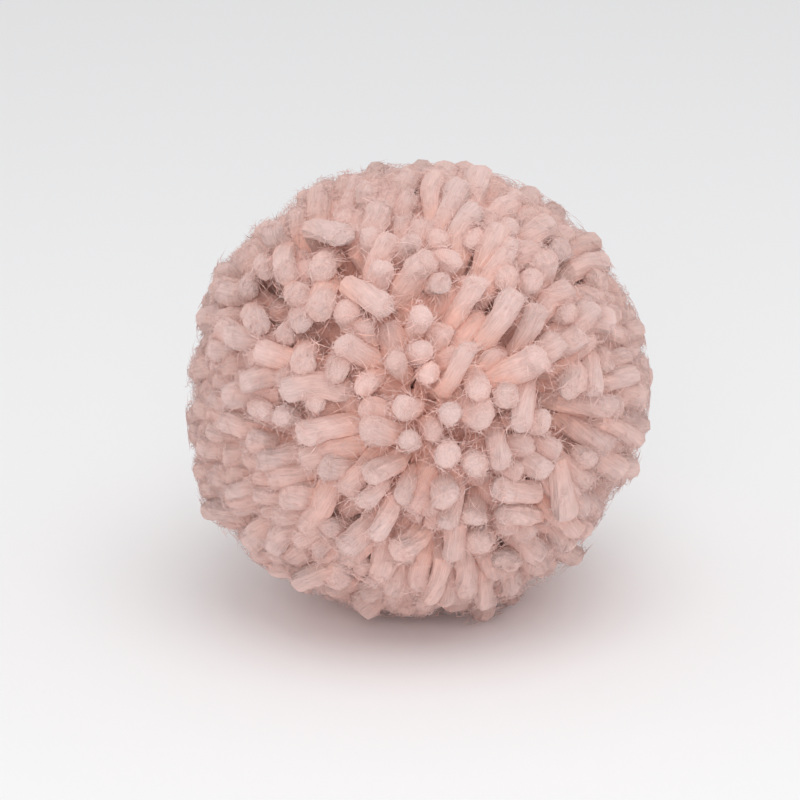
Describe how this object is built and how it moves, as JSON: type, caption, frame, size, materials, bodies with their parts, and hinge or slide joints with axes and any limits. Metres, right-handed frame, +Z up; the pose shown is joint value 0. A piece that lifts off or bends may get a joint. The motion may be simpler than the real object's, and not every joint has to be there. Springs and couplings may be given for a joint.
{
  "type": "yarn pom pom",
  "caption": "Round, soft ball of thick cut yarn ends tied at the middle and trimmed, with a small level spot underneath to rest on.",
  "frame": {"origin": "middle of the level spot underneath, on the surface the ball rests on", "axes": "+Z up, and the middle of the ball's fullest face looks to -Y and 20 degrees up"},
  "size_m": [0.1002, 0.0989, 0.0983],
  "materials": {
    "yarn": "soft, matt, hairy single-ply wool yarn in pale dusty pink"
  },
  "bodies": {
    "root": {"pom_pom": "yarn"}
  },
  "joints": []
}
